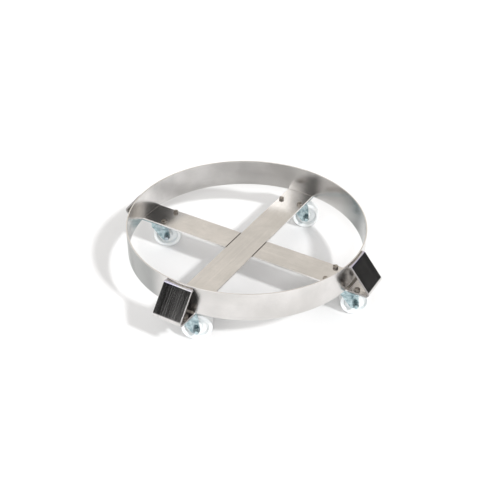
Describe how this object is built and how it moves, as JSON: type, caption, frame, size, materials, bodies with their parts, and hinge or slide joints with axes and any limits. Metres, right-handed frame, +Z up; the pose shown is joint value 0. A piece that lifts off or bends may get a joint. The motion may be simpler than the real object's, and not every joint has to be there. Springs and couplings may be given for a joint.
{
  "type": "drum dolly",
  "caption": "Low round dolly for an upright drum: a steel ring band on crossed flat bars with folded outriggers, carried on swivel plate casters.",
  "frame": {"origin": "on the floor, under the ring's vertical axis", "axes": "+Z up along the ring's axis; +Y along the continuous main bar towards the back caster; +X along the cross bar towards the right caster"},
  "size_m": [0.73, 0.73, 0.1766],
  "materials": {
    "brushed_stainless": "brushed along each strip, satin",
    "zinc_plate": "bright zinc plating over pressed steel, faintly blue",
    "dark_zinc": "dark plated",
    "ball_steel": "polished, greased",
    "white_nylon": "moulded, slightly glossy"
  },
  "bodies": {
    "frame": {"ring_band": "brushed_stainless", "main_bar": "brushed_stainless", "cross_bar_left": "brushed_stainless", "cross_bar_right": "brushed_stainless", "top_plate_right": "zinc_plate", "kingpin_right": "zinc_plate", "lower_cup_right": "zinc_plate", "upper_balls_right": "ball_steel", "lower_balls_right": "ball_steel", "plate_bolt_right_1": "zinc_plate", "plate_bolt_right_2": "zinc_plate", "plate_bolt_right_3": "zinc_plate", "plate_bolt_right_4": "zinc_plate", "top_plate_back": "zinc_plate", "kingpin_back": "zinc_plate", "lower_cup_back": "zinc_plate", "upper_balls_back": "ball_steel", "lower_balls_back": "ball_steel", "plate_bolt_back_1": "zinc_plate", "plate_bolt_back_2": "zinc_plate", "plate_bolt_back_3": "zinc_plate", "plate_bolt_back_4": "zinc_plate", "top_plate_left": "zinc_plate", "kingpin_left": "zinc_plate", "lower_cup_left": "zinc_plate", "upper_balls_left": "ball_steel", "lower_balls_left": "ball_steel", "plate_bolt_left_1": "zinc_plate", "plate_bolt_left_2": "zinc_plate", "plate_bolt_left_3": "zinc_plate", "plate_bolt_left_4": "zinc_plate", "top_plate_front": "zinc_plate", "kingpin_front": "zinc_plate", "lower_cup_front": "zinc_plate", "upper_balls_front": "ball_steel", "lower_balls_front": "ball_steel", "plate_bolt_front_1": "zinc_plate", "plate_bolt_front_2": "zinc_plate", "plate_bolt_front_3": "zinc_plate", "plate_bolt_front_4": "zinc_plate"},
    "swivel_right": {"fork_right": "zinc_plate", "axle_sleeve_right": "zinc_plate", "axle_bolt_right": "zinc_plate", "axle_nut_right": "dark_zinc"},
    "roller_right": {"wheel_right": "white_nylon"},
    "swivel_back": {"fork_back": "zinc_plate", "axle_sleeve_back": "zinc_plate", "axle_bolt_back": "zinc_plate", "axle_nut_back": "dark_zinc"},
    "roller_back": {"wheel_back": "white_nylon"},
    "swivel_left": {"fork_left": "zinc_plate", "axle_sleeve_left": "zinc_plate", "axle_bolt_left": "zinc_plate", "axle_nut_left": "dark_zinc"},
    "roller_left": {"wheel_left": "white_nylon"},
    "swivel_front": {"fork_front": "zinc_plate", "axle_sleeve_front": "zinc_plate", "axle_bolt_front": "zinc_plate", "axle_nut_front": "dark_zinc"},
    "roller_front": {"wheel_front": "white_nylon"}
  },
  "joints": [
    {"name": "swivel_right", "type": "hinge", "parent": "frame", "child": "swivel_right", "pos_m": [0.287, 0, 0.0866], "axis": [0, 0, 1], "continuous": true},
    {"name": "roll_right", "type": "hinge", "parent": "swivel_right", "child": "roller_right", "pos_m": [0.31038, 0.0135, 0.0381], "axis": [0.5, -0.866, 0], "continuous": true},
    {"name": "swivel_back", "type": "hinge", "parent": "frame", "child": "swivel_back", "pos_m": [0, 0.287, 0.0866], "axis": [0, 0, 1], "continuous": true},
    {"name": "roll_back", "type": "hinge", "parent": "swivel_back", "child": "roller_back", "pos_m": [0.02338, 0.3005, 0.0381], "axis": [0.5, -0.866, 0], "continuous": true},
    {"name": "swivel_left", "type": "hinge", "parent": "frame", "child": "swivel_left", "pos_m": [-0.287, 0, 0.0866], "axis": [0, 0, 1], "continuous": true},
    {"name": "roll_left", "type": "hinge", "parent": "swivel_left", "child": "roller_left", "pos_m": [-0.26362, 0.0135, 0.0381], "axis": [0.5, -0.866, 0], "continuous": true},
    {"name": "swivel_front", "type": "hinge", "parent": "frame", "child": "swivel_front", "pos_m": [0, -0.287, 0.0866], "axis": [0, 0, 1], "continuous": true},
    {"name": "roll_front", "type": "hinge", "parent": "swivel_front", "child": "roller_front", "pos_m": [0.02338, -0.2735, 0.0381], "axis": [0.5, -0.866, 0], "continuous": true}
  ]
}
